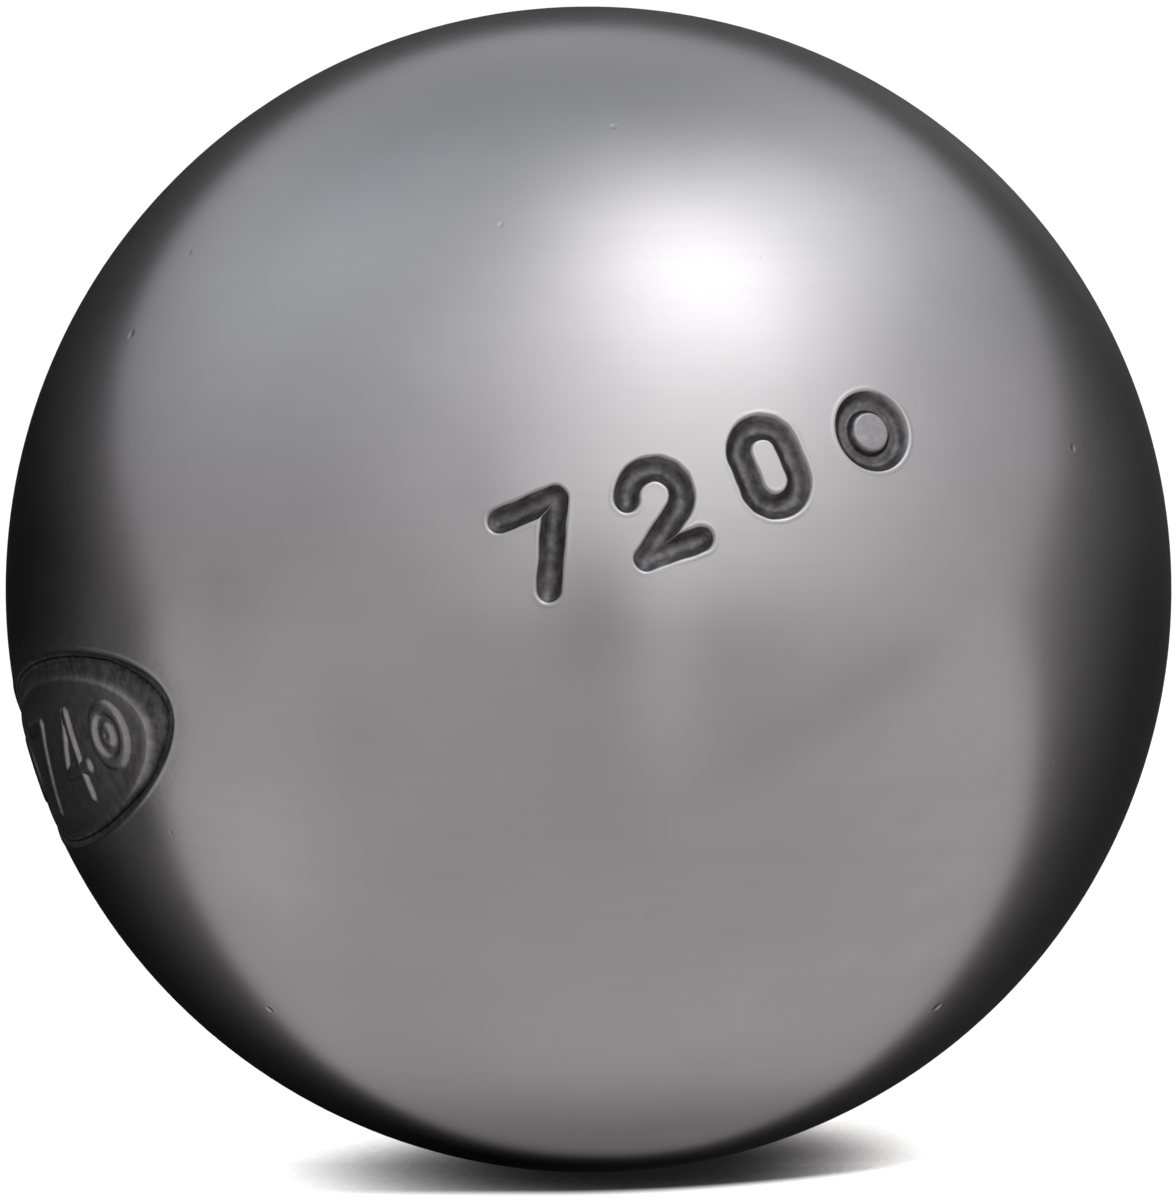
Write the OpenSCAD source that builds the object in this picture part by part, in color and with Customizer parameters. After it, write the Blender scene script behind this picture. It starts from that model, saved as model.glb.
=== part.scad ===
// Petanque boule: a hollow steel ball of two half shells and the weld that joins them.
// Millimetres. The origin is the centre of the ball, +Z is up, and -Y is the front. The seam lies upright,
// between a front half shell, which carries the struck marks, and a back one. The front one's pole faces
// a little to the left of the front, so that the seam runs clear of the seal.
// The sections below are drawn with the axis through the half shells' poles up the page, and the front
// at the top.

/* [Ball] */
// Outside diameter of the finished ball
ball_d = 74; // [70.5:0.1:80]
// Wall thickness of the half shells, which sets the weight
wall = 6.38; // [5.5:0.01:9]
// Longitude that the front half shell's pole faces, in degrees from the front towards +X
pole_longitude = -15; // [-30:1:30]

/* [Weld groove] */
// Width of the rim left unwelded, measured out from the inner wall
root_land = 2.2; // [1.6:0.1:2.6]
// Radius of the rounded root of the groove
root_r = 1.5; // [1:0.1:2]
// Slope of each groove wall away from the seam plane, in degrees
groove_slope = 10; // [4:1:20]

/* [Centring register] */
// Height of the spigot on the back half shell, past the seam plane
spigot_h = 1.2; // [0.8:0.1:2]
// Radial thickness of the spigot
spigot_t = 1; // [0.6:0.1:1.3]
// Chamfer on the leading corner of the spigot
spigot_chamfer = 0.2; // [0.1:0.05:0.4]
// Radial clearance between the spigot and its seat
register_gap = 0.05; // [0.02:0.01:0.15]
// Gap left between the end of the spigot and its seat
spigot_end_gap = 0.1; // [0.05:0.05:0.5]

/* [Struck seal] */
// Length of the oval seal, as it is seen square on
seal_l = 32; // [24:0.5:34]
// Width of the oval seal
seal_w = 12.2; // [9:0.1:14]
// Depth of the seal's field at its middle
seal_depth = 0.4; // [0.35:0.05:0.7]
// How far the die was tipped, which struck the end towards +X deeper, in degrees
seal_tip = 0.8; // [0:0.1:1]
// Distance from the ends of the seal to its raised ring
seal_ring_end_gap = 3; // [1:0.1:4]
// Distance from the sides of the seal to its raised ring, before the ring's drop
seal_ring_side_gap = 0.95; // [0.8:0.05:2.5]
// How far the ring's middle lies below the seal's
seal_ring_drop = 0.6; // [0:0.05:0.7]
// Width of the raised ring
seal_ring_w = 0.8; // [0.3:0.05:1]
// Height of the raised ring above the field, less than the seal's depth
seal_ring_h = 0.2; // [0.15:0.05:0.3]
// Height of the panel inside the ring above the field, less than the ring's
seal_panel_h = 0.1; // [0.05:0.01:0.12]
// Latitude of the seal's centre, in degrees above the ball's equator
seal_latitude = -14; // [-60:0.1:60]
// Longitude of the seal's centre, in degrees from the front towards +X
seal_longitude = -68.8; // [-70:0.1:64]
// How far the seal's end towards +X is turned up from level, in degrees
seal_lean = 14; // [-90:1:90]

/* [Punch mark] */
// Diameter of the round punch mark at the surface of the ball
punch_d = 5.1; // [4.5:0.1:8]
// Depth of the punch mark's field
punch_depth = 0.7; // [0.5:0.05:0.9]
// Diameter of the island left standing in its middle, at its foot
island_d = 2.9; // [1.5:0.1:3.6]
// Height of the island above the field, less than the mark's depth
island_h = 0.5; // [0.1:0.05:0.65]
// Latitude of the punch mark, in degrees above the ball's equator
punch_latitude = 20.2; // [-60:0.1:60]
// Longitude of the punch mark, in degrees from the front towards +X
punch_longitude = 29.6; // [-64:0.1:64]

/* [Striking die] */
// Slope that a struck wall has from the punch's direction, in degrees
die_draft = 30; // [5:1:40]

/* [Hidden] */
$fn = 96;

steel_colour = [0.57, 0.56, 0.56];
weld_colour = [0.55, 0.54, 0.55];

ball_r = ball_d / 2;
inner_r = ball_r - wall;
// How far a cut runs past what it cuts
overrun = 1;
reach = ball_r + overrun;
// Centre of the groove's rounded root, and the radius of the spigot's outer side
root_centre = inner_r + root_land + root_r;
spigot_r = inner_r + spigot_t;
quarter_turn = 90;

// Section of the wall on one side of the ball's axis
module wall_section() {
    difference() {
        circle(r = ball_r);
        circle(r = inner_r);
    }
}

// Section of everything on the front side of the seam plane, from the axis out
module front_side() {
    square([reach, reach]);
}

// Section of everything on the back side of the seam plane, from the axis out
module back_side() {
    translate([0, -reach]) square([reach, reach]);
}

// Section of the weld groove: a round root and two walls that leave it as tangents and open outwards
module groove_section() {
    tangent_x = root_centre - root_r * sin(groove_slope);
    tangent_y = root_r * cos(groove_slope);
    mouth_y = tangent_y + (reach - tangent_x) * tan(groove_slope);
    translate([root_centre, 0]) circle(r = root_r);
    polygon([
        [tangent_x, -tangent_y],
        [reach, -mouth_y],
        [reach, mouth_y],
        [tangent_x, tangent_y],
    ]);
}

// Section of the register, as the spigot fills it or, with its clearances, as the seat is cut
module register_section(side_gap = 0, end_gap = 0) {
    side = spigot_r + side_gap;
    top = spigot_h + end_gap;
    polygon([
        [0, -spigot_h],
        [side, -spigot_h],
        [side, top - spigot_chamfer],
        [side - spigot_chamfer, top],
        [0, top],
    ]);
}

module front_section() {
    difference() {
        intersection() {
            wall_section();
            front_side();
        }
        register_section(register_gap, spigot_end_gap);
        groove_section();
    }
}

module back_section() {
    difference() {
        intersection() {
            wall_section();
            union() {
                back_side();
                register_section();
            }
        }
        groove_section();
    }
}

module weld_section() {
    intersection() {
        circle(r = ball_r);
        groove_section();
    }
}

// Section of a column about a mark's axis. It has radius r where it meets the sphere of radius level,
// reaches from below to above that height, and widens outwards by a slope.
module column_section(r, level, below, above, slope) {
    level_y = sqrt(pow(level, 2) - pow(r, 2));
    polygon([
        [0, level_y - below],
        [r - below * tan(slope), level_y - below],
        [r + above * tan(slope), level_y + above],
        [0, level_y + above],
    ]);
}

// Section of the field that a round die leaves, with its floor concentric with the ball
module struck_field(r, depth) {
    difference() {
        column_section(r, ball_r, 2 * depth, reach - sqrt(pow(ball_r, 2) - pow(r, 2)), die_draft);
        circle(r = ball_r - depth);
    }
}

// Section of a disc that stays standing on such a field, of radius r at its foot
module standing_disc(r, depth, h) {
    floor_r = ball_r - depth;
    intersection() {
        circle(r = floor_r + h);
        column_section(r, floor_r, depth, 2 * h, -die_draft);
    }
}

// An oval, as it is seen square on
module oval(l, w) {
    scale([l / w, 1]) circle(d = w);
}

// A column over the oval that lies inside the seal's outline by an inset at its ring
module ring_column(inset = 0) {
    l = seal_l - 2 * (seal_ring_end_gap + inset);
    w = seal_w - 2 * (seal_ring_side_gap + inset);
    translate([0, -seal_ring_drop]) linear_extrude(reach) oval(l, w);
}

// What lies under a face of the seal's die, at a height above its field, with the die tipped
module under_die(h = 0) {
    floor_r = ball_r - seal_depth;
    translate([0, 0, floor_r]) rotate([0, seal_tip, 0]) translate([0, 0, -floor_r])
        sphere(r = floor_r + h);
}

// What the seal's die displaces, along +Z: an oval field less its standing ring, and the panel inside that
module seal_field() {
    difference() {
        linear_extrude(reach) oval(seal_l, seal_w);
        under_die();
        intersection() {
            ring_column();
            under_die(seal_ring_h);
        }
    }
    difference() {
        ring_column(seal_ring_w);
        under_die(seal_panel_h);
    }
}

module punch_section() {
    difference() {
        struck_field(punch_d / 2, punch_depth);
        standing_disc(island_d / 2, punch_depth, island_h);
    }
}

// Turns its children, made along +Z, to point out of the ball at a latitude and a longitude
module facing(latitude, longitude) {
    rotate([0, 0, longitude - quarter_turn]) rotate([0, quarter_turn - latitude, 0]) children();
}

// Turns a section about the axis through the half shells' poles, with its top to the front
module turned() {
    rotate([quarter_turn, 0, pole_longitude]) rotate_extrude() children();
}

// What the dies displaced, whichever piece it comes from
module struck_marks() {
    facing(seal_latitude, seal_longitude) rotate([0, 0, quarter_turn + seal_lean]) seal_field();
    facing(punch_latitude, punch_longitude) rotate_extrude() punch_section();
}

module front_half_shell() {
    color(steel_colour) difference() {
        turned() front_section();
        struck_marks();
    }
}

module back_half_shell() {
    color(steel_colour) difference() {
        turned() back_section();
        struck_marks();
    }
}

module seam_weld_bead() {
    color(weld_colour) difference() {
        turned() weld_section();
        struck_marks();
    }
}

front_half_shell();
back_half_shell();
seam_weld_bead();
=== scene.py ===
"""A petanque boule in satin turned steel on a pale floor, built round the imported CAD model.

Mesh work is done in millimetres about the ball's centre, and the finished meshes are stored in metres.
Each piece replaces its CAD node with a closed solid of the same form, finely meshed where the marks are
struck.
"""
import math

import bpy
import numpy as np
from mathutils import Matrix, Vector


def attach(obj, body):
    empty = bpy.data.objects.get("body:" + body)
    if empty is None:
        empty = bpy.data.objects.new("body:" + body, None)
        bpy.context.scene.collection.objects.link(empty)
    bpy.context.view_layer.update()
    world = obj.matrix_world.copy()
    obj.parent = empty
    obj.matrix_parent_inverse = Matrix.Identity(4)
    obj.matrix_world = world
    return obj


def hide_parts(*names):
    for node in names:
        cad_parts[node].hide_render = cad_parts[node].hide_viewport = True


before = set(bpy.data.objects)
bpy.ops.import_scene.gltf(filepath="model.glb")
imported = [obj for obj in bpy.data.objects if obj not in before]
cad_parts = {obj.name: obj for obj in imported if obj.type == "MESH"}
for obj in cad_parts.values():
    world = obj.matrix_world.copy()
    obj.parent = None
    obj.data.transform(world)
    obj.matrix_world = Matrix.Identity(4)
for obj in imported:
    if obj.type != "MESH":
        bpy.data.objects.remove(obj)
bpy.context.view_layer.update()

MM = 0.001
IN_MM = 1 / MM
X, Y, Z = np.eye(3)
TINY = 1e-6

# The ball and its joint, as in the CAD model
BALL_R = 37.0
WALL = 6.38
INNER_R = BALL_R - WALL
ROOT_LAND = 2.2
ROOT_R = 1.5
GROOVE_SLOPE = math.radians(10)
SPIGOT_H = 1.2
SPIGOT_R = INNER_R + 1
SPIGOT_CHAMFER = 0.2
REGISTER_GAP = 0.05
SPIGOT_END_GAP = 0.1
ROOT_CENTRE = INNER_R + ROOT_LAND + ROOT_R
TANGENT_R = ROOT_CENTRE - ROOT_R * math.sin(GROOVE_SLOPE)
TANGENT_W = ROOT_R * math.cos(GROOVE_SLOPE)
POLE_LONGITUDE = -15

# The mesh: its pitch outside and inside, the fewest points of a ring, and steps round the groove's
# root. Then the longest edge on the skin away from the marks, and how fast edges grow from a mark's own,
# finer pitch.
OUTER_PITCH = 1.0
INNER_PITCH = 2.0
LEAST_COUNT = 8
ROOT_STEPS = 8
LONGEST_EDGE = 1.5 * OUTER_PITCH
PITCH_GROWTH = 0.4

# Its normals: how far to either side the surface is measured, how far up a direction may point and
# still be crossed with Z, and the angle from which an edge of the joint is sharp
NORMAL_STEP = 0.015
NEARLY_UP = 0.9
JOINT_SHARP = math.radians(25)

# The struck row: plain numbers along a leaning great circle, at an even step, each as (number, how far
# it stands above the row, turn in degrees). Their strokes are grooves with a round bottom. A mark's
# reach is how far it goes from its centre, and its pitch is the mesh's at its edges.
ROW_AXIS = np.array([-0.3637, 0.1818, 0.9136])
ROW_AXIS /= np.linalg.norm(ROW_AXIS)
ROW_START = (9.35, -4.1)
ROW_STEP = math.radians(11.4)
ROW_NUMBERS = [("7", 0.35, 1.5), ("2", -0.1, -1.0), ("0", 0.1, 0.5)]
NUMBER_SCALE = 0.9
NUMBER_REACH = 5.5
NUMBER_PITCH = 0.06
STROKE_HALF = 0.8
STROKE_DEPTH = 0.68
STROKE_ROUND = 2.0
STROKE_FINE_TO = 0.2

# How uneven the numbers are struck, each wave as (size, radians per millimetre across and up, and from
# one number to the next): the line of their edges, their depth, and the burr beside them, about its
# usual share
EDGE_WAVES = [(0.018, 2.3, 1.7, 5), (0.012, -3.7, 5.1, 3)]
DEPTH_WAVE = (0.08, 0.5, 0.3, 1)
BURR_WAVE = (0.5, 0.9, 0.7, 2)
BURR_SHARE = 0.6

# The punch mark and the seal, as in the CAD model
PUNCH_R = 2.55
PUNCH_DEPTH = 0.7
ISLAND_R = 1.45
ISLAND_H = 0.5
PUNCH_PLACE = (20.2, 29.6)
SEAL_HALF_L = 16.0
SEAL_HALF_W = 6.1
SEAL_DEPTH = 0.4
SEAL_TIP = math.radians(0.8)
SEAL_PLACE = (-14, -68.8)
SEAL_LEAN = math.radians(14)
RING_END_GAP = 3.0
RING_SIDE_GAP = 0.95
RING_DROP = 0.6
RING_W = 0.8
RING_H = 0.2
PANEL_H = 0.1
DIE_DRAFT = math.radians(30)
WALL_SLOPE = 1 / math.tan(DIE_DRAFT)

# How far these two reach, and their mesh pitch
PUNCH_REACH = 4.0
PUNCH_PITCH = 0.065
SEAL_REACH = SEAL_HALF_L + 3
SEAL_PITCH = 0.12

# What stands inside the seal's ring: a plain number between two plain ring marks, each as (character,
# x, y, scale), half the width, the slope and the height of its strokes, and the share of the depth that
# it may fill
SEAL_CONTENT = [
    ("o", -9.0, -0.3, 1.05),
    ("7", -3.2, -0.7, 0.95),
    ("4", 3.0, -0.7, 0.95),
    ("o", 8.6, -0.3, 1.05),
]
SEAL_STROKE_HALF = 0.52
SEAL_STROKE_SLOPE = 0.9
SEAL_STROKE_H = 0.2
SEAL_FILLED = 0.92

# How wide the cove is that the seal's wall runs out in, and how far the ring's flanks run
COVE_WALL = 0.7
RING_OUTER_FLANK = 0.36
RING_INNER_FLANK = 0.85

# How edges are rounded, and the burr that the punch raises beside them, with how much higher it is at
# the seal
EDGE_ROUNDING = 0.1
FLOOR_ROUNDING = 0.35
STANDING_ROUNDING = 0.18
FOOT_ROUNDING = 0.1
BURR_H = 0.018
BURR_AT = 0.16
BURR_W = 0.1
SEAL_BURR = 1.9

# Small dents of a ball that has been handled: how many each half has, their radii and depths, and the
# lip round them in shares of a dent's depth and radius
DENTS_FRONT = 16
DENTS_BACK = 12
DENT_SEED = 7
DENT_R = (0.16, 0.34)
DENT_DEPTH = (0.012, 0.03)
DENT_LIP = 0.25
DENT_LIP_AT = 1.35
DENT_LIP_W = 0.45

# How far a dent reaches in radii, its mesh pitch, the share of the way to its middle that counts as the
# way to its edge, how struck it looks, and how far it keeps from the marks and, as a share of the ball,
# from the seam
DENT_REACH = 3
DENT_PITCH = 0.09
DENT_EDGE = 0.5
DENT_DARK = 0.5
DENT_OFF_MARKS = 1
DENT_OFF_SEAM = 0.15

# How a struck hollow looks: its share of the skin's colour, how much rougher it is, how deep it has to
# be for that in full, and the least shade that is left in the darkest of it
STRUCK_SHADE = 0.3
STRUCK_ROUGHER = 0.25
STRUCK_SHADE_DEPTH = 0.48
SHADE_LEAST = 0.015

# How struck the seal looks, how much of that is rubbed off what stands in it, and a faint band of
# painted dark reflection along its edge, with its width
SEAL_DARK = 1.1
SEAL_RUBBED = 0.65
DARK_REFLECTION_BAND = 0.2
DARK_REFLECTION_SPREAD = 1.2

# Dirt and painted shade along the seal's wall, where the wall shades the cove: how far inside the edge
# its line runs, how wide it is, how much further in it runs at the seal's right end and from where on,
# and how struck it looks. Then from which such look up to which the metal turns matt.
DIRT_SHADE_AT = 0.42
DIRT_SHADE_W = 0.5
DIRT_SHADE_DEEPER = 0.7
DEEPER_DIRT_SHADE_FROM = 11
DIRT_SHADE_DARK = 1.42
METAL_TO = 1.12
MATT_FROM = 1.34

# Soft patches painted lighter or darker into the skin: some are painted reflections and the painted
# streak under the highlight, the rest handling wear and stains. Each as (latitude, longitude), half
# sizes across and up, lean in degrees and change of shade.
WEAR_AND_REFLECTION_PATCHES = [
    ((-1, 7), (2.6, 6.5), 0, 0.2),
    ((4.5, 0.5), (3, 4.2), 0, -0.24),
    ((3.5, 8), (6, 2.2), 0, -0.07),
    ((-17.5, -52), (2.4, 3.2), 0, -0.3),
    ((-1, -49.5), (2.2, 3), 0, -0.2),
    ((-5, 25), (9, 1.8), 29, -0.12),
    ((-9, -22.5), (3, 3.5), 0, -0.07),
    ((3, -37), (4, 4), 0, -0.13),
    ((-21, -34), (4.5, 5), 0, 0.12),
    ((16, -10.5), (2, 3.5), 0, -0.08),
    ((-24, 5), (7, 4), 0, 0.06),
]

# The steel: its colours, its roughness, and the tint of what it reflects at a glancing angle
SHELL_COLOUR = (0.243, 0.2355, 0.238)
WELD_COLOUR = (0.24, 0.2335, 0.236)
ROUGHNESS = 0.24
EDGE_TINT = (0.6, 0.6, 0.6, 1)

# Its patterns: how the noise of the turned lines is stretched, and the scales per millimetre of the
# others
FINE_LINES = (0.05, 0.05, 2.2)
BROAD_LINES = (0.03, 0.03, 0.55)
CLOUD_SCALE = 0.09
GRAIN_SCALE = 3.5
MOTTLE_SCALE = 1.4
PIT_SCALE = 0.42

# Between which values of a noise a pattern runs, where it shows strongly and where it shows faintly
STRONG = (0.3, 0.7)
FAINT = (0.2, 0.8)

# How much the patterns change the skin's shade, its roughness and, in millimetres, its relief
CLOUD_SHADE = (0.955, 1.03)
FINE_LINE_SHADE = 0.013
BROAD_LINE_SHADE = 0.008
MOTTLE_SHADE = 0.38
CLOUD_ROUGHNESS = 0.01
GRAIN_ROUGHNESS = 0.015
SKIN_RELIEF = 0.0003
STRUCK_RELIEF = 0.02
PIT_DEPTH = 0.006
PIT_EDGE = (0.03, 0.075)

# The camera: lens for a 36 mm sensor, distance, height in degrees, and how far off the centre it aims
LENS = 283.1
CAMERA_AWAY = 600
CAMERA_RISE = 6
AIM_BELOW = 0.67
AIM_LEFT = 0.034

# The studio: its colour level with the ball and straight above, and soft lights in it, each as
# (latitude, longitude), spread in degrees, gain and tone. Where the gain is below nought, the studio is
# darker.
LEVEL_LIGHT = (1.02, 1.0, 1.0, 1)
UPPER_LIGHT = (0.85, 0.9, 0.96, 1)
SOFT_LIGHTS = [
    ((67, 52), 19.5, 2.75, (0.98, 0.99, 0.985)),
    ((53, 112), 16, 0.92, (0.97, 1.0, 1.05)),
    ((40, 136), 11, 0.42, (0.97, 1.0, 1.05)),
    ((24, 103), 9, 0.17, (1.0, 1.0, 1.0)),
    ((44, 26), 41, 1.8, (1.015, 1.0, 1.0)),
    ((46, -105), 26, 0.55, (0.93, 1.0, 1.05)),
    ((54, -131), 12, -0.2, (1.0, 1.0, 1.0)),
    ((60, 115), 11, 0.3, (0.97, 1.0, 1.03)),
    ((42, 108), 9, -0.16, (1.0, 1.0, 1.0)),
    ((34, -26), 10, -0.12, (1.0, 1.0, 1.0)),
    ((5, 10), 12, -0.08, (1.0, 1.0, 1.0)),
    ((7, 41), 13, -0.11, (1.0, 1.0, 1.0)),
    ((34, -176), 13, 0.42, (0.97, 1.0, 1.03)),
    ((36, 150), 12, 0.45, (0.97, 1.0, 1.03)),
    ((34, -140), 12, 0.2, (0.97, 1.0, 1.03)),
    ((17, -109), 22, -0.19, (1.0, 1.0, 0.97)),
]

# The floor, which shows white apart from the ball's shade: how far it goes, and how it diffuses light
FLOOR_REACH = 12000
FLOOR_DIFFUSE = (0.9, 0.9, 0.9, 1)

# The ball's shade on it, from how open to the sky the floor is: over what distance and in how many
# samples that is taken, how open it is where it turns white, how steeply it darkens from there, how
# much the second and the first grow to the right, and the first behind on the right. Then the least
# light that is left in it, and how much wider the ball's own reflections show it.
SHADE_ACROSS = 4 * BALL_R
SHADE_SAMPLES = 24
FLOOR_WHITE_AT = 0.326
SHADOW_FALLOFF = 3.25
SHADOW_STEEPER = 0.95
SHADOW_WIDER = 0.03
SHADOW_BEHIND = 0.43
SHADOW_LEAST = 0.008
SHADOW_REFLECTED = 1.13

# Where light from the front cuts the shade short, how softly, from where on and how much that line
# bends back on the right, and the share of this light that the ball's own reflections show
SHADOW_FRONT = -11.1
SHADOW_SOFT = 1.5
SHADOW_BEND_AT = -3
SHADOW_BEND = 0.02
SHADOW_FRONT_SHARE = 0.5

# Painted light and shade on the floor: its tone at the left and the right, how much brighter it is
# painted to both sides and to the right, and a belt round the ball that is painted brighter in front,
# less so towards the left, and darker on the right
FLOOR_LEFT_TONE = (1.05, 1.04, 1.05, 1)
FLOOR_RIGHT_TONE = (1.075, 1.04, 1.045, 1)
FLOOR_SIDES = 0.15
FLOOR_RIGHT = 0.055
FLOOR_NEAR = 0.15
FLOOR_NEAR_LEFT = 0.26
FLOOR_NEAR_RIGHT = -0.1
FLOOR_NEAR_AT = 28
FLOOR_NEAR_W = 12

# Dark cards lying and standing behind the ball, which only its reflections show: how far they go, how
# high the first lies, its front edge, where the second stands, and its top
CARD_REACH = 9000
CARD_LIFT = 0.3
CARD_EDGE = [(-CARD_REACH, -11), (0, -11), (20, -8), (60, -4), (300, 0), (CARD_REACH, 0)]
CARD_BACK = 1200
CARD_TOP = 690

# Their faint glow: on the left, between which two places it steps up, on the right, and what it gains
# far to the right. Then the point from which the angle to either side is taken, what the glow gains by
# that on the left and on the right, and how steeply. Last, what it gains at the top.
CARD_LEFT = 0.003
CARD_STEP = (-6, 34)
CARD_RIGHT = 0.038
CARD_FAR_RIGHT = 0.07
CARD_APEX = -22
CARD_SIDES_LEFT = 0.66
CARD_SIDES_RIGHT = 0.7
CARD_FALLOFF = 5.5
CARD_RISE = 0.18

# A soft brighter spot on them: where, how wide and how bright
CARD_LAMP = (330, 0, 230)
CARD_LAMP_R = 150
CARD_LAMP_GLOW = 0.16


def unit(v):
    return v / np.linalg.norm(v, axis=-1, keepdims=True)


def soft_min(a, b, width):
    """The lesser of a and b, rounded where they are within width of each other."""
    overlap = np.maximum(width - np.abs(a - b), 0)
    return np.minimum(a, b) - overlap ** 2 / (4 * width)


def soft_max(a, b, width):
    return -soft_min(-a, -b, width)


def bell(x):
    """1 where x is nought, falling away to either side."""
    return np.exp(-(x ** 2))


def wave(q, number, size, across, up, step):
    """A gentle wave over a mark's plane, shifted from one number to the next."""
    return size * np.sin(across * q[:, 0] + up * q[:, 1] + step * number)


def facing(latitude, longitude):
    """The direction out of the ball at a latitude, and a longitude from the front to +X, in degrees."""
    la, lo = math.radians(latitude), math.radians(longitude)
    return np.array([math.cos(la) * math.sin(lo), -math.cos(la) * math.cos(lo), math.sin(la)])


def turned_about(v, axis, angle):
    cos, sin = math.cos(angle), math.sin(angle)
    return v * cos + np.cross(axis, v) * sin + axis * (axis @ v) * (1 - cos)


FRONT_POLE = facing(0, POLE_LONGITUDE)
SEAM_ACROSS = np.cross(Z, FRONT_POLE)

# Middle lines of the plain numbers' strokes, in millimetres about the middle of each


def line(x0, y0, x1, y1):
    a, b = np.array([x0, y0]), np.array([x1, y1])

    def distance(p):
        along = np.clip((p - a) @ (b - a) / ((b - a) @ (b - a)), 0, 1)
        return np.linalg.norm(p - a - along[:, None] * (b - a), axis=1)

    return distance


def arc(cx, cy, r, start, sweep):
    """A circular arc from an angle in degrees, through a sweep that is positive turning left."""
    centre = np.array([cx, cy])
    middle = math.radians(start + sweep / 2)
    half = math.radians(abs(sweep) / 2)
    ends = [centre + r * np.array([math.cos(a), math.sin(a)]) for a in (middle - half, middle + half)]

    def distance(p):
        q = p - centre
        off = np.abs((np.arctan2(q[:, 1], q[:, 0]) - middle + math.pi) % (2 * math.pi) - math.pi)
        on_arc = np.abs(np.linalg.norm(q, axis=1) - r)
        at_end = np.minimum(*(np.linalg.norm(p - e, axis=1) for e in ends))
        return np.where(off <= half, on_arc, at_end)

    return distance


def seven():
    left, right, top_y = -2.0, 2.05, 2.75
    foot_x, foot_y = -0.75, -2.8
    return [line(left, top_y, right, top_y), line(right, top_y, foot_x, foot_y)]


def two():
    """A bowl, and a straight stroke that leaves it as a tangent for the left end of the foot."""
    cx, cy, r = 0.0, 1.0, 1.85
    foot_x, foot_y = -1.95, -2.75
    reach = math.hypot(foot_x - cx, foot_y - cy)
    leave = math.degrees(math.atan2(foot_y - cy, foot_x - cx) + math.acos(r / reach))
    start = 168
    tangent = cx + r * math.cos(math.radians(leave)), cy + r * math.sin(math.radians(leave))
    return [
        arc(cx, cy, r, start, leave - start),
        line(*tangent, foot_x, foot_y),
        line(foot_x, foot_y, -foot_x, foot_y),
    ]


def nought():
    half_w, straight = 1.72, 1.05
    return [
        line(-half_w, -straight, -half_w, straight),
        line(half_w, -straight, half_w, straight),
        arc(0, straight, half_w, 0, 180),
        arc(0, -straight, half_w, 180, 180),
    ]


def four():
    stem_x, bar_y, top_y = 0.8, -0.95, 2.75
    left, right, slant_x = -1.9, 2.0, 0.35
    return [
        line(slant_x, top_y, left, bar_y),
        line(left, bar_y, right, bar_y),
        line(stem_x, top_y, stem_x, -top_y),
    ]


def ring_mark():
    """A ring with a disc in the middle."""
    ring_r, disc_r = 1.65, 0.3
    return [arc(0, 0, ring_r, 0, 360), arc(0, 0, disc_r, 0, 360)]


NUMBERS = {"7": seven, "2": two, "0": nought, "4": four, "o": ring_mark}


def strokes_distance(strokes, p):
    nearest = strokes[0](p)
    for stroke in strokes[1:]:
        nearest = np.minimum(nearest, stroke(p))
    return nearest


class Mark:
    """Something struck into the ball about a centre, in a plane square to the direction out of it.

    reach is how far it goes from its centre, fine the mesh pitch at its edges, and dark how struck its
    hollows look.
    """

    def __init__(self, out, reach, fine, dark, turn=0.0):
        self.out = unit(out)
        up = unit(ROW_AXIS - (ROW_AXIS @ self.out) * self.out)
        self.up = turned_about(up, self.out, turn)
        self.right = np.cross(self.up, self.out)
        self.reach = reach
        self.fine = fine
        self.dark = dark

    def near(self, p):
        """Which of the points are close enough for the mark to reach, and their places in its plane."""
        q = np.stack([p @ self.right, p @ self.up], axis=1)
        close = (p @ self.out > 0) & (np.linalg.norm(q, axis=1) < self.reach)
        return close, q[close]

    def height(self, q):
        """How far the surface stands out of the ball's sphere, and how far q is from the nearest edge."""
        raise NotImplementedError

    def struck(self, q, height):
        """How struck it looks: 0 is plain skin, 1 a struck hollow. Dirt and painted shade go beyond 1."""
        return self.dark * np.clip(-height / STRUCK_SHADE_DEPTH, 0, 1)


def burr(inside):
    """Height of the burr beside an edge, from the distance inside it."""
    return BURR_H * bell((inside + BURR_AT) / BURR_W)


def struck_wall(inside, depth, slope):
    """Height across a struck edge, from the distance inside it: a burr, a slope and a floor."""
    fall = soft_max(inside * slope, 0, EDGE_ROUNDING)
    return burr(inside) - soft_min(fall, depth, FLOOR_ROUNDING)


def standing(inside, height, slope):
    """Height across the edge of what stands on a field, from the distance inside its foot."""
    rise = soft_min(inside * slope, height, STANDING_ROUNDING)
    return soft_max(rise, 0, FOOT_ROUNDING)


class StruckNumber(Mark):
    """A plain number as a round-bottomed groove, uneven in a way that goes by its place in the row."""

    def __init__(self, out, number, turn, place):
        super().__init__(out, NUMBER_REACH, NUMBER_PITCH, dark=1.0, turn=turn)
        self.strokes = NUMBERS[number]()
        self.place = place

    def height(self, q):
        inside = STROKE_HALF - strokes_distance(self.strokes, q / NUMBER_SCALE) * NUMBER_SCALE
        for edge_wave in EDGE_WAVES:
            inside += wave(q, self.place, *edge_wave)
        depth = STROKE_DEPTH * (1 + wave(q, self.place, *DEPTH_WAVE))
        above_floor = 1 - np.clip(soft_max(inside, 0, EDGE_ROUNDING) / STROKE_HALF, 0, 1)
        burr_share = BURR_SHARE + wave(q, self.place, *BURR_WAVE)
        height = burr_share * burr(inside) - depth * (1 - above_floor ** STROKE_ROUND)
        return height, np.where(inside > 0, np.minimum(inside, STROKE_FINE_TO), -inside)


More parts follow.
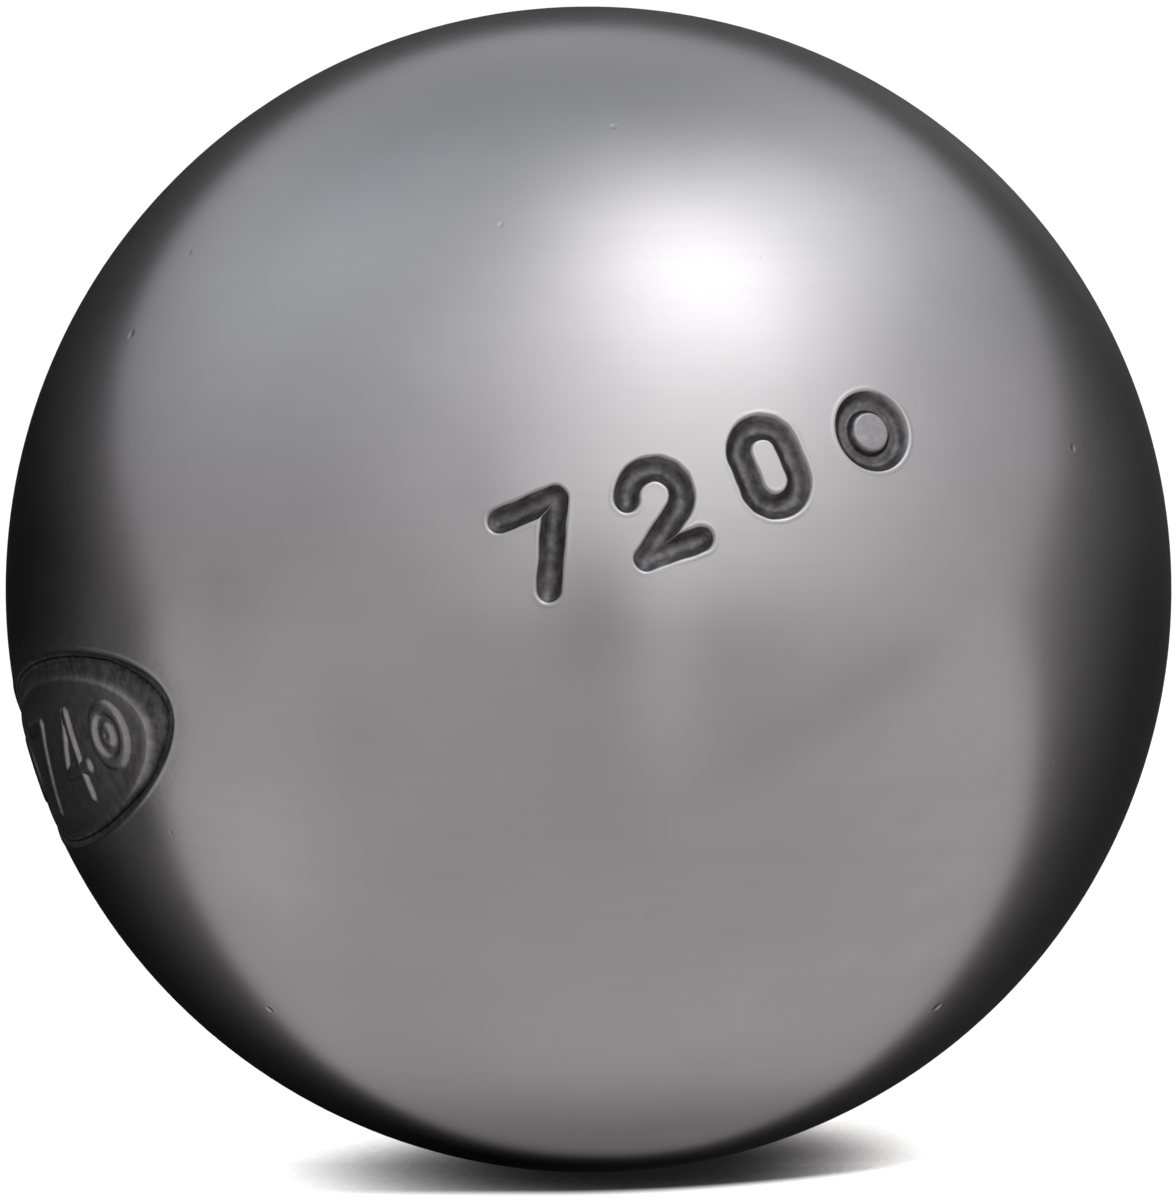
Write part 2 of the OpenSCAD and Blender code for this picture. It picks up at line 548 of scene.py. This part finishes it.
class PunchMark(Mark):
    """A round recess with an island left standing in the middle."""

    def __init__(self, out):
        super().__init__(out, PUNCH_REACH, PUNCH_PITCH, dark=1.0)

    def height(self, q):
        r = np.linalg.norm(q, axis=1)
        inside = PUNCH_R - r
        in_island = ISLAND_R - r * (BALL_R - PUNCH_DEPTH) / BALL_R
        recess = struck_wall(inside, PUNCH_DEPTH, WALL_SLOPE)
        height = recess + standing(in_island, ISLAND_H, WALL_SLOPE)
        return height, np.minimum(np.abs(inside), np.abs(in_island))


class Seal(Mark):
    """An oval field with a cove along its edge, a raised ring, and plain numbers raised inside that."""

    def __init__(self, out):
        super().__init__(out, SEAL_REACH, SEAL_PITCH, SEAL_DARK)
        east = unit(np.cross(Z, self.out))
        self.right = turned_about(east, self.out, SEAL_LEAN)
        self.up = np.cross(self.out, self.right)

    def inside_oval(self, q, half_l, half_w):
        """About how far each point is inside an oval."""
        half = np.array([half_l, half_w])
        share = np.linalg.norm(q / half, axis=1)
        return (1 - share) * share / np.maximum(np.linalg.norm(q / half ** 2, axis=1), TINY)

    def depth(self, q):
        """How deep the die's face went. It was tipped about its middle."""
        floor_r = BALL_R - SEAL_DEPTH
        lift = floor_r * (1 - math.cos(SEAL_TIP))
        aside = floor_r * math.sin(SEAL_TIP)
        out = np.sqrt(np.maximum(BALL_R ** 2 - (q ** 2).sum(axis=1), 0)) / BALL_R
        along = lift * out - aside * q[:, 0] / BALL_R
        return BALL_R - along - np.sqrt(floor_r ** 2 - aside ** 2 - lift ** 2 + along ** 2)

    def height(self, q):
        inside = self.inside_oval(q, SEAL_HALF_L, SEAL_HALF_W)
        floor = q * (BALL_R - SEAL_DEPTH) / BALL_R
        ring_half_l = SEAL_HALF_L - (RING_END_GAP + RING_W / 2)
        ring_half_w = SEAL_HALF_W - (RING_SIDE_GAP + RING_W / 2)
        in_ring = self.inside_oval(floor + np.array([0, RING_DROP]), ring_half_l, ring_half_w)
        depth = self.depth(q)
        wall = depth * (1 - np.clip(1 - inside / COVE_WALL, 0, 1) ** 2)
        flank = np.where(in_ring > 0, RING_INNER_FLANK, RING_OUTER_FLANK)
        base = np.where(in_ring > 0, PANEL_H, 0.0)
        ring = base + (RING_H - base) * bell(in_ring / flank)
        nearest = np.full(len(q), np.inf)
        for character, x, y, scale in SEAL_CONTENT:
            shifted = (floor - np.array([x, y])) / scale
            nearest = np.minimum(nearest, strokes_distance(NUMBERS[character](), shifted) * scale)
        in_stroke = SEAL_STROKE_HALF - nearest
        raised = ring + standing(in_stroke, SEAL_STROKE_H, SEAL_STROKE_SLOPE)
        raised = soft_min(raised, SEAL_FILLED * depth, EDGE_ROUNDING)
        fall = soft_max(wall, 0, EDGE_ROUNDING) - EDGE_ROUNDING / 4
        edge = np.minimum(np.minimum(np.abs(inside), np.abs(in_ring)), np.abs(in_stroke))
        height = np.where(inside > 0, raised - fall, 0)
        return height + SEAL_BURR * burr(inside), edge

    def struck(self, q, height):
        inside = self.inside_oval(q, SEAL_HALF_L, SEAL_HALF_W)
        rubbed = SEAL_RUBBED * np.clip((height + self.depth(q)) / RING_H, 0, 1)
        # Dirt and painted shade along the wall, in a line that runs further in towards the seal's right end
        to_end = np.clip((q[:, 0] - DEEPER_DIRT_SHADE_FROM) / (SEAL_HALF_L - DEEPER_DIRT_SHADE_FROM), 0, 1)
        dirt_and_shade = DIRT_SHADE_DARK * bell((inside - (DIRT_SHADE_AT + DIRT_SHADE_DEEPER * to_end)) / DIRT_SHADE_W)
        hollow = np.clip(inside / EDGE_ROUNDING, 0, 1) * np.maximum(self.dark * (1 - rubbed), dirt_and_shade)
        # A faint band of painted dark reflection along the edge, outside it and in
        return np.maximum(hollow, DARK_REFLECTION_BAND * bell(inside / DARK_REFLECTION_SPREAD))


class Dent(Mark):
    """A small round dent with a low lip."""

    def __init__(self, out, r, depth):
        super().__init__(out, DENT_REACH * r, DENT_PITCH, DENT_DARK)
        self.r = r
        self.depth = depth

    def height(self, q):
        r = np.linalg.norm(q, axis=1) / self.r
        lip = DENT_LIP * bell((r - DENT_LIP_AT) / DENT_LIP_W)
        return self.depth * (lip - bell(r)), DENT_EDGE * r * self.r


def row_marks():
    marks = []
    for i, (number, above, turn) in enumerate(ROW_NUMBERS):
        out = turned_about(facing(*ROW_START), ROW_AXIS, i * ROW_STEP)
        marks.append(StruckNumber(out + ROW_AXIS * above / BALL_R, number, math.radians(turn), i))
    return marks


def dents(count, front, taken):
    """Small dents scattered over one half of the ball, clear of the marks and of the seam."""
    rng = np.random.default_rng(DENT_SEED + front)
    side = 1 if front else -1
    made = []
    while len(made) < count:
        out = unit(rng.normal(size=3))
        r, depth = rng.uniform(*DENT_R), rng.uniform(*DENT_DEPTH)
        clear = all(out @ m.out < math.cos((m.reach + DENT_OFF_MARKS) / BALL_R) for m in taken)
        if clear and side * (out @ FRONT_POLE) > DENT_OFF_SEAM:
            made.append(Dent(out, r, depth))
    return made


def survey(p, marks):
    """How far the surface stands out of the sphere, the mesh pitch asked for, and how struck it looks."""
    rise = np.zeros(len(p))
    pitch = np.full(len(p), LONGEST_EDGE)
    struck = np.zeros(len(p))
    for mark in marks:
        close, q = mark.near(p)
        if len(q):
            h, edge = mark.height(q)
            rise[close] += h
            asked = mark.fine + PITCH_GROWTH * np.maximum(edge - mark.fine, 0)
            pitch[close] = np.minimum(pitch[close], asked)
            struck[close] += mark.struck(q, h)
    return rise, pitch, struck


def wear_and_reflection_shade(p):
    """How much lighter the patches of wear and painted reflection make the skin at each point."""
    change = np.zeros(len(p))
    for place, (half_w, half_h), lean, gain in WEAR_AND_REFLECTION_PATCHES:
        out = facing(*place)
        east = unit(np.cross(Z, out))
        across = turned_about(east, out, math.radians(lean))
        up = np.cross(out, across)
        off = ((p @ across) / half_w) ** 2 + ((p @ up) / half_h) ** 2
        change += gain * np.exp(-off) * (p @ out > 0)
    return change


# Meshes of revolution about the seam's axis, with w towards the front half shell's pole


def ring(r, w, count):
    """The points of one circle about the seam's axis, w in front of the seam plane."""
    angle = 2 * math.pi * np.arange(count)[:, None] / count
    return w * FRONT_POLE + (count > 1) * r * (np.cos(angle) * SEAM_ACROSS + np.sin(angle) * Z)


def stitch(first_a, count_a, first_b, count_b):
    """Triangles between two rings of points, facing outwards where ring a is nearer the front pole."""
    triangles = []
    i = j = 0
    while True:
        next_a = (i + 1) / count_a if count_a > 1 and i < count_a else 2
        next_b = (j + 1) / count_b if count_b > 1 and j < count_b else 2
        if next_a == next_b == 2:
            return triangles
        a, b = first_a + i % count_a, first_b + j % count_b
        if next_a < next_b:
            i += 1
            triangles.append((a, b, first_a + i % count_a))
        else:
            j += 1
            triangles.append((a, b, first_b + j % count_b))


def revolve(profile, closed):
    """Points of a profile [(r, w, count)] turned about the seam's axis, triangles, and each one's step."""
    starts = np.cumsum([0] + [count for _, _, count in profile])
    points = np.concatenate([ring(*step) for step in profile])
    triangles, steps = [], []
    for k in range(len(profile) - (not closed)):
        n = (k + 1) % len(profile)
        made = stitch(starts[k], profile[k][2], starts[n], profile[n][2])
        triangles += made
        steps += [k] * len(made)
    return points, np.array(triangles), np.array(steps)


def around(r, pitch):
    """How many points a ring has, a multiple of four so that it reaches its radius both ways across."""
    return max(LEAST_COUNT, 4 * round(math.pi * r / (2 * pitch))) if r > TINY else 1


def sphere_profile(radius, w_from, w_to, pitch, count_from=None, count_to=None):
    """Rings on a sphere between two heights in front of the seam, about one pitch apart."""
    a, b = math.acos(np.clip(w_from / radius, -1, 1)), math.acos(np.clip(w_to / radius, -1, 1))
    steps = max(1, round(abs(b - a) * radius / pitch))
    profile = []
    for k in range(steps + 1):
        angle = a + (b - a) * k / steps
        r = radius * math.sin(angle)
        count = around(r, pitch)
        if k == 0 and count_from:
            count = count_from
        if k == steps and count_to:
            count = count_to
        profile.append((r if count > 1 else 0, radius * math.cos(angle), count))
    return profile


def groove_mouth():
    """Radius and height of the edge where a groove wall meets the ball's surface."""
    t = math.tan(GROOVE_SLOPE)
    offset = TANGENT_W - TANGENT_R * t
    a, b, c = 1 + t * t, 2 * t * offset, offset ** 2 - BALL_R ** 2
    r = (-b + math.sqrt(b * b - 4 * a * c)) / (2 * a)
    return r, offset + r * t


MOUTH_R, MOUTH_W = groove_mouth()
SEAM_COUNT = around(MOUTH_R, OUTER_PITCH)


def split_long_edges(p, triangles, marks):
    """Bisects edges, longest first, until none is longer than the pitch that the marks near it ask for."""
    while True:
        sides = np.stack([triangles, np.roll(triangles, -1, axis=1)], axis=2)
        low, high = sides.min(axis=2), sides.max(axis=2)
        keys, side = np.unique(low.astype(np.int64) * len(p) + high, return_inverse=True)
        side = side.reshape(-1, 3)
        a, b = keys // len(p), keys % len(p)
        length = np.linalg.norm(p[a] - p[b], axis=1)
        middle = BALL_R * unit(p[a] + p[b])
        split = length > survey(middle, marks)[1]
        longest = np.argmax(length[side], axis=1)
        rows = np.arange(len(side))
        while True:
            short = split[side].any(axis=1) & ~split[side[rows, longest]]
            if not short.any():
                break
            split[side[rows, longest][short]] = True
        if not split.any():
            return p, triangles
        number = np.full(len(keys), -1)
        number[split] = len(p) + np.arange(split.sum())
        p = np.concatenate([p, middle[split]])
        turn = (longest[:, None] + np.arange(3)) % 3
        corner = np.take_along_axis(triangles, turn, axis=1)
        new = number[np.take_along_axis(side, turn, axis=1)]
        a, b, c = corner.T
        m, n, o = new.T
        whole = m < 0
        made = [triangles[whole]]
        first, second = ~whole & (o < 0), ~whole & (o >= 0)
        made.append(np.stack([a, m, c], axis=1)[first])
        made.append(np.stack([a, m, o], axis=1)[second])
        made.append(np.stack([m, c, o], axis=1)[second])
        first, second = ~whole & (n < 0), ~whole & (n >= 0)
        made.append(np.stack([m, b, c], axis=1)[first])
        made.append(np.stack([m, b, n], axis=1)[second])
        made.append(np.stack([m, n, c], axis=1)[second])
        triangles = np.concatenate(made)


def surface_normals(p, marks):
    """The struck surface's own normals, from how its height changes to either side."""
    out = unit(p)
    aside = unit(np.cross(out, np.where(np.abs(out[:, 2:]) < NEARLY_UP, Z, X)))
    normal = out.copy()
    for tangent in (aside, np.cross(out, aside)):
        step = NORMAL_STEP * tangent
        rise = survey(p + step, marks)[0] - survey(p - step, marks)[0]
        normal -= (rise / (2 * NORMAL_STEP))[:, None] * tangent
    return unit(normal)


def build_piece(node, profile, skin_steps, closed, marks, slot, material):
    """A closed solid turned from its profile, its skin split and struck, in place of a CAD node."""
    points, triangles, steps = revolve(profile, closed)
    on_skin = np.isin(steps, skin_steps)
    rest = triangles[~on_skin]
    points, skin = split_long_edges(points, triangles[on_skin], marks)
    used = np.unique(skin)
    rise, struck = np.zeros(len(points)), np.zeros(len(points))
    rise[used], _, struck[used] = survey(points[used], marks)
    normals = np.zeros_like(points)
    normals[used] = surface_normals(points[used], marks)
    shaped = points.copy()
    shaped[used] += unit(points[used]) * rise[used, None]
    faces = np.concatenate([skin, rest])
    mesh = bpy.data.meshes.new(node)
    mesh.from_pydata((shaped * MM).tolist(), [], faces.tolist())
    mesh.materials.append(material)
    for name, values in (("struck", struck), ("patches", wear_and_reflection_shade(points))):
        mesh.attributes.new(name, "FLOAT", "POINT").data.foreach_set("value", values.astype(np.float32))
    mesh.shade_smooth()
    mesh.set_sharp_from_angle(angle=JOINT_SHARP)
    corner_normals = np.zeros((len(faces) * 3, 3))
    corner_normals[:len(skin) * 3] = normals[skin.ravel()]
    mesh.normals_split_custom_set(corner_normals.tolist())
    piece = bpy.data.objects.new(node + "_finished", mesh)
    bpy.context.scene.collection.objects.link(piece)
    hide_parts(node)
    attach(piece, "root")
    return piece


def root_arc(start, end, steps=ROOT_STEPS):
    """Points of the groove's rounded root, between two angles at its centre in degrees."""
    angles = np.radians(np.linspace(start, end, steps + 1))
    return [(ROOT_CENTRE + ROOT_R * math.cos(a), ROOT_R * math.sin(a), SEAM_COUNT) for a in angles]


def front_profile():
    """From the front pole over the outside, the groove and the register's seat to the inside's pole."""
    outside = sphere_profile(BALL_R, BALL_R, MOUTH_W, OUTER_PITCH, count_to=SEAM_COUNT)
    seat_r, seat_w = SPIGOT_R + REGISTER_GAP, SPIGOT_H + SPIGOT_END_GAP
    joint = root_arc(90 + math.degrees(GROOVE_SLOPE), 180) + [
        (seat_r, 0, SEAM_COUNT),
        (seat_r, seat_w - SPIGOT_CHAMFER, SEAM_COUNT),
        (seat_r - SPIGOT_CHAMFER, seat_w, SEAM_COUNT),
    ]
    inside = sphere_profile(INNER_R, seat_w, INNER_R, INNER_PITCH)
    return outside + joint + inside, range(len(outside) - 1)


def back_profile():
    """From the inside's pole over the spigot and through the groove to the outside's back pole."""
    inside = sphere_profile(INNER_R, -INNER_R, SPIGOT_H, INNER_PITCH)
    joint = [
        (SPIGOT_R - SPIGOT_CHAMFER, SPIGOT_H, SEAM_COUNT),
        (SPIGOT_R, SPIGOT_H - SPIGOT_CHAMFER, SEAM_COUNT),
        (SPIGOT_R, 0, SEAM_COUNT),
    ] + root_arc(180, 270 - math.degrees(GROOVE_SLOPE))
    outside = sphere_profile(BALL_R, -MOUTH_W, -BALL_R, OUTER_PITCH, count_from=SEAM_COUNT)
    first = len(inside) + len(joint)
    return inside + joint + outside, range(first, first + len(outside) - 1)


def weld_profile():
    """From the front mouth of the groove over the outside to the back one, and round its root."""
    half = round(MOUTH_W / OUTER_PITCH)
    turn = math.asin(MOUTH_W / BALL_R)
    angles = [turn * k / half for k in range(half, -half - 1, -1)]
    outside = [(BALL_R * math.cos(a), BALL_R * math.sin(a), SEAM_COUNT) for a in angles]
    slope = math.degrees(GROOVE_SLOPE)
    return outside + root_arc(270 - slope, 90 + slope, 2 * ROOT_STEPS), range(2 * half)


# Materials, as trees of nodes


class Tree:
    """Short calls that add nodes to a material or a world, and link what they are given."""

    def __init__(self, owner):
        owner.use_nodes = True
        self.tree = owner.node_tree
        self.tree.nodes.clear()

    def add(self, kind, inputs=(), **settings):
        node = self.tree.nodes.new("ShaderNode" + kind)
        for key, value in settings.items():
            setattr(node, key, value)
        for key, value in dict(inputs).items():
            if isinstance(value, bpy.types.NodeSocket):
                self.tree.links.new(value, node.inputs[key])
            else:
                node.inputs[key].default_value = value
        return node

    def math(self, operation, a, b=0.0, clamp=False):
        return self.add("Math", {0: a, 1: b}, operation=operation, use_clamp=clamp).outputs[0]

    def scaled(self, vector, scale):
        """A vector, with each of its parts sized by its own scale."""
        return self.add("VectorMath", {0: vector, 1: scale}, operation="MULTIPLY").outputs[0]

    def sized(self, vector, size):
        return self.add("VectorMath", {0: vector, "Scale": size}, operation="SCALE").outputs[0]

    def bell(self, off, width):
        """1 where off is nought, falling away over a width to either side."""
        square = self.math("POWER", self.math("DIVIDE", off, width), 2.0)
        return self.math("EXPONENT", self.math("MULTIPLY", square, -1.0))

    def noise(self, vector, scale, detail, roughness):
        inputs = {"Vector": vector, "Scale": scale, "Detail": detail, "Roughness": roughness}
        return self.add("TexNoise", inputs).outputs[0]

    def remap(self, value, low, high, to_low, to_high, smooth=False):
        inputs = {"Value": value, "From Min": low, "From Max": high, "To Min": to_low, "To Max": to_high}
        kind = "SMOOTHSTEP" if smooth else "LINEAR"
        return self.add("MapRange", inputs, interpolation_type=kind).outputs[0]

    def swing(self, value, span, most):
        """From -most to most over a span of the value."""
        return self.remap(value, *span, -most, most)

    def tint(self, factor, a, b):
        return self.add("Mix", {0: factor, 6: a, 7: b}, data_type="RGBA").outputs[2]

    def output(self, shader, kind="OutputMaterial"):
        self.add(kind, {"Surface": shader})


def turned_steel(name, colour):
    """Satin turned steel: fine level lines, faint clouds and tiny pits, darker and rougher where struck."""
    material = bpy.data.materials.new(name)
    t = Tree(material)
    place = t.scaled(t.add("TexCoord").outputs["Object"], (IN_MM, IN_MM, IN_MM))
    struck = t.add("Attribute", attribute_name="struck").outputs["Fac"]
    patches = t.add("Attribute", attribute_name="patches").outputs["Fac"]
    lines = t.noise(t.scaled(place, FINE_LINES), 1.0, detail=3, roughness=0.6)
    broad_lines = t.noise(t.scaled(place, BROAD_LINES), 1.0, detail=2, roughness=0.5)
    clouds = t.noise(place, CLOUD_SCALE, detail=3, roughness=0.55)
    grain = t.noise(place, GRAIN_SCALE, detail=2, roughness=0.6)
    mottle = t.noise(place, MOTTLE_SCALE, detail=3, roughness=0.6)

    shade = t.math("ADD", t.remap(clouds, *STRONG, *CLOUD_SHADE), t.swing(lines, FAINT, FINE_LINE_SHADE))
    shade = t.math("ADD", shade, t.swing(broad_lines, STRONG, BROAD_LINE_SHADE))
    # Patches of wear, and of painted reflection and highlight
    shade = t.math("ADD", shade, patches)
    # Darker where struck, which at the seal also holds painted shade and a painted dark reflection
    left = t.math("SUBTRACT", 1.0, t.math("MULTIPLY", struck, 1 - STRUCK_SHADE))
    shade = t.math("MULTIPLY", shade, t.math("MAXIMUM", left, SHADE_LEAST))
    uneven = t.math("MULTIPLY", struck, t.swing(mottle, STRONG, MOTTLE_SHADE))
    shade = t.math("MULTIPLY", shade, t.math("ADD", uneven, 1.0))

    rough = t.remap(grain, *STRONG, ROUGHNESS - GRAIN_ROUGHNESS, ROUGHNESS + GRAIN_ROUGHNESS)
    rough = t.math("ADD", rough, t.swing(clouds, STRONG, CLOUD_ROUGHNESS))
    rough = t.math("ADD", rough, t.remap(struck, 0, 1, 0, STRUCK_ROUGHER))

    pits = t.add("TexVoronoi", {"Vector": place, "Scale": PIT_SCALE}, feature="F1").outputs["Distance"]
    pit = t.remap(pits, *PIT_EDGE, 1, 0, smooth=True)
    relief = t.math("ADD", t.swing(lines, FAINT, SKIN_RELIEF), t.swing(grain, FAINT, SKIN_RELIEF))
    relief = t.math("SUBTRACT", relief, t.math("MULTIPLY", pit, PIT_DEPTH))
    relief = t.math("ADD", relief, t.math("MULTIPLY", struck, t.swing(mottle, FAINT, STRUCK_RELIEF)))
    bump = t.add("Bump", {"Height": relief, "Distance": MM, "Strength": 1.0}).outputs[0]
    inputs = {
        "Base Color": t.sized(colour, shade),
        "Metallic": t.remap(struck, METAL_TO, MATT_FROM, 1, 0),
        "Roughness": rough,
        "Specular IOR Level": 0.0,
        "Specular Tint": EDGE_TINT,
        "Normal": bump,
    }
    t.output(t.add("BsdfPrincipled", inputs).outputs[0])
    return material


def dark_card():
    """A card that glows faintly, more towards the sides, as a dim room does behind a lit table."""
    material = bpy.data.materials.new("dark_card")
    t = Tree(material)
    spot = t.add("TexCoord").outputs["Object"]
    place = t.add("SeparateXYZ", {0: spot}).outputs
    ahead = t.math("SUBTRACT", place["Y"], CARD_APEX * MM)
    off = t.math("ARCTAN2", t.math("ABSOLUTE", place["X"]), ahead)
    side = t.math("POWER", t.math("DIVIDE", off, math.pi / 2), CARD_FALLOFF)
    dark = t.remap(place["X"], CARD_STEP[0] * MM, CARD_STEP[1] * MM, CARD_LEFT, CARD_RIGHT)
    dark = t.math("ADD", dark, t.remap(place["X"], 0, CARD_BACK * MM, 0, CARD_FAR_RIGHT))
    most = t.remap(place["X"], -CARD_BACK * MM, CARD_BACK * MM, CARD_SIDES_LEFT, CARD_SIDES_RIGHT)
    glow = t.math("ADD", dark, t.math("MULTIPLY", side, most))
    glow = t.math("ADD", glow, t.remap(place["Z"], 0, CARD_TOP * MM, 0, CARD_RISE))
    upright = t.scaled(spot, (IN_MM, 0, IN_MM))
    from_lamp = t.add("VectorMath", {0: upright, 1: CARD_LAMP}, operation="DISTANCE").outputs["Value"]
    lamp = t.math("MULTIPLY", t.bell(from_lamp, CARD_LAMP_R), CARD_LAMP_GLOW)
    glow = t.math("ADD", glow, lamp)
    t.output(t.add("Emission", {"Color": (1, 1, 1, 1), "Strength": glow}).outputs[0])
    return material


def floor_material():
    """A pale floor. Seen or reflected it is white, down to near black where the ball shades it closely."""
    material = bpy.data.materials.new("pale_floor")
    t = Tree(material)
    path = t.add("LightPath").outputs
    seen = t.math("MAXIMUM", path["Is Camera Ray"], path["Is Glossy Ray"])
    seen = t.math("MAXIMUM", seen, path["Is Transmission Ray"])
    place = t.scaled(t.add("TexCoord").outputs["Object"], (IN_MM, IN_MM, 0))
    flat = t.add("VectorMath", {0: place}, operation="NORMALIZE").outputs[0]
    way = t.add("SeparateXYZ", {0: flat}).outputs
    across = way["X"]

    # The ball's shade
    occlusion = t.add("AmbientOcclusion", {"Distance": SHADE_ACROSS * MM}, samples=SHADE_SAMPLES)
    open_sky = occlusion.outputs["AO"]
    behind = t.math("MULTIPLY", across, t.math("MAXIMUM", way["Y"], 0.0))
    wider = t.math("MULTIPLY", across, SHADOW_WIDER)
    wider = t.math("ADD", t.math("MULTIPLY", behind, SHADOW_BEHIND), wider)
    full = t.math("MULTIPLY", t.math("ADD", wider, 1.0), FLOOR_WHITE_AT)
    full = t.math("MULTIPLY", full, t.remap(path["Is Camera Ray"], 0, 1, SHADOW_REFLECTED, 1))
    falloff = t.math("ADD", t.math("MULTIPLY", across, SHADOW_STEEPER), SHADOW_FALLOFF)
    white = t.math("POWER", t.math("DIVIDE", open_sky, full, clamp=True), falloff)
    white = t.math("MAXIMUM", t.math("ADD", white, SHADOW_LEAST), 0.0, clamp=True)

    # The light from the front
    spot = t.add("SeparateXYZ", {0: place}).outputs
    bend = t.math("POWER", t.math("MAXIMUM", t.math("SUBTRACT", spot["X"], SHADOW_BEND_AT), 0.0), 2.0)
    ahead = t.math("SUBTRACT", t.math("MULTIPLY", bend, SHADOW_BEND), spot["Y"])
    lit = t.remap(ahead, -SHADOW_FRONT - SHADOW_SOFT, -SHADOW_FRONT + SHADOW_SOFT, 0, 1, smooth=True)
    lit = t.math("MULTIPLY", lit, t.remap(path["Is Camera Ray"], 0, 1, SHADOW_FRONT_SHARE, 1))
    white = t.math("ADD", white, t.math("MULTIPLY", lit, t.math("SUBTRACT", 1.0, white)))

    # Painted light and shade on the floor, besides the ball's shade
    beside = t.math("MULTIPLY", t.math("POWER", t.math("ABSOLUTE", across), 2.0), FLOOR_SIDES)
    beside = t.math("ADD", beside, t.math("MULTIPLY", t.math("MAXIMUM", across, 0.0), FLOOR_RIGHT))
    far = t.add("VectorMath", {0: place}, operation="LENGTH").outputs["Value"]
    near = t.bell(t.math("SUBTRACT", far, FLOOR_NEAR_AT), FLOOR_NEAR_W)
    to_left = t.math("MULTIPLY", t.math("MINIMUM", across, 0.0), FLOOR_NEAR_LEFT)
    to_right = t.math("MULTIPLY", t.math("MAXIMUM", across, 0.0), FLOOR_NEAR_RIGHT)
    to_front = t.math("MAXIMUM", t.math("MULTIPLY", way["Y"], -1.0), 0.0)
    to_front = t.math("MULTIPLY", to_front, t.math("ADD", to_left, FLOOR_NEAR))
    near = t.math("MULTIPLY", near, t.math("ADD", to_front, to_right))
    beside = t.math("ADD", beside, near)
    white = t.math("MULTIPLY", white, t.math("ADD", beside, 1.0))

    tone = t.tint(t.remap(across, -1, 1, 0, 1), FLOOR_LEFT_TONE, FLOOR_RIGHT_TONE)
    glow = t.add("Emission", {"Color": tone, "Strength": white}).outputs[0]
    plain = t.add("BsdfDiffuse", {"Color": FLOOR_DIFFUSE}).outputs[0]
    t.output(t.add("MixShader", {0: seen, 1: plain, 2: glow}).outputs[0])
    return material


def studio(world):
    """Soft white all round, dimmer and cooler above, with large soft lights in it."""
    t = Tree(world)
    way = t.add("TexCoord").outputs["Generated"]
    height = t.add("SeparateXYZ", {0: way}).outputs["Z"]
    total = t.tint(t.math("MAXIMUM", height, 0.0), LEVEL_LIGHT, UPPER_LIGHT)
    for place, spread, gain, tone in SOFT_LIGHTS:
        toward = t.add("VectorMath", {0: way, 1: tuple(facing(*place))}, operation="DOT_PRODUCT")
        off = t.math("ARCCOSINE", t.math("MINIMUM", toward.outputs["Value"], 1.0))
        part = t.sized(tuple(gain * c for c in tone), t.bell(off, math.radians(spread)))
        total = t.add("VectorMath", {0: total, 1: part}, operation="ADD").outputs[0]
    t.output(t.add("Background", {"Color": total, "Strength": 1.0}).outputs[0], "OutputWorld")


def board(name, corners, material, seen=True):
    """A flat sheet of the studio, from its corners in millimetres. Unseen, only reflections show it."""
    mesh = bpy.data.meshes.new(name)
    points = [tuple(c * MM for c in corner) for corner in corners]
    mesh.from_pydata(points, [], [tuple(range(len(corners)))])
    mesh.materials.append(material)
    sheet = bpy.data.objects.new(name, mesh)
    bpy.context.scene.collection.objects.link(sheet)
    if not seen:
        sheet.visible_camera = False
        sheet.visible_diffuse = False
        sheet.visible_shadow = False
    return sheet


# The camera, at the photograph's angle: level with the front and a little above

camera = bpy.data.objects.new("camera", bpy.data.cameras.new("camera"))
camera.data.lens = LENS
tilt = math.radians(CAMERA_RISE)
back = np.array([0, -math.cos(tilt), math.sin(tilt)])
above = np.array([0, math.sin(tilt), math.cos(tilt)])
aim = -AIM_BELOW * above - AIM_LEFT * X
camera.location = Vector((aim + CAMERA_AWAY * back) * MM)
camera.rotation_euler = (math.pi / 2 - tilt, 0, 0)
bpy.context.scene.collection.objects.link(camera)
bpy.context.scene.camera = camera
bpy.context.scene.view_settings.view_transform = "Standard"

# The ball

shell_steel = turned_steel("shell_steel_satin", SHELL_COLOUR)
weld_steel = turned_steel("weld_steel_satin", WELD_COLOUR)
struck_marks = row_marks() + [PunchMark(facing(*PUNCH_PLACE)), Seal(facing(*SEAL_PLACE))]
front_marks = struck_marks + dents(DENTS_FRONT, True, struck_marks)
back_marks = dents(DENTS_BACK, False, [])
build_piece("front_half_shell", *front_profile(), False, front_marks, "shell_steel", shell_steel)
build_piece("back_half_shell", *back_profile(), False, back_marks, "shell_steel", shell_steel)
build_piece("seam_weld_bead", *weld_profile(), True, [], "weld_steel", weld_steel)

# The studio

corners = [(x * FLOOR_REACH, y * FLOOR_REACH, -BALL_R) for x, y in ((-1, -1), (1, -1), (1, 1), (-1, 1))]
board("floor", corners, floor_material())
dark = dark_card()
low = -BALL_R + CARD_LIFT
front_edge = [(x, y, low) for x, y in CARD_EDGE]
foot = [(-CARD_REACH, CARD_BACK, low), (CARD_REACH, CARD_BACK, low)]
top = [(CARD_REACH, CARD_BACK, CARD_TOP), (-CARD_REACH, CARD_BACK, CARD_TOP)]
board("lying_card", front_edge + foot[::-1], dark, seen=False)
board("standing_card", foot + top, dark, seen=False)
world = bpy.data.worlds.new("studio")
bpy.context.scene.world = world
studio(world)
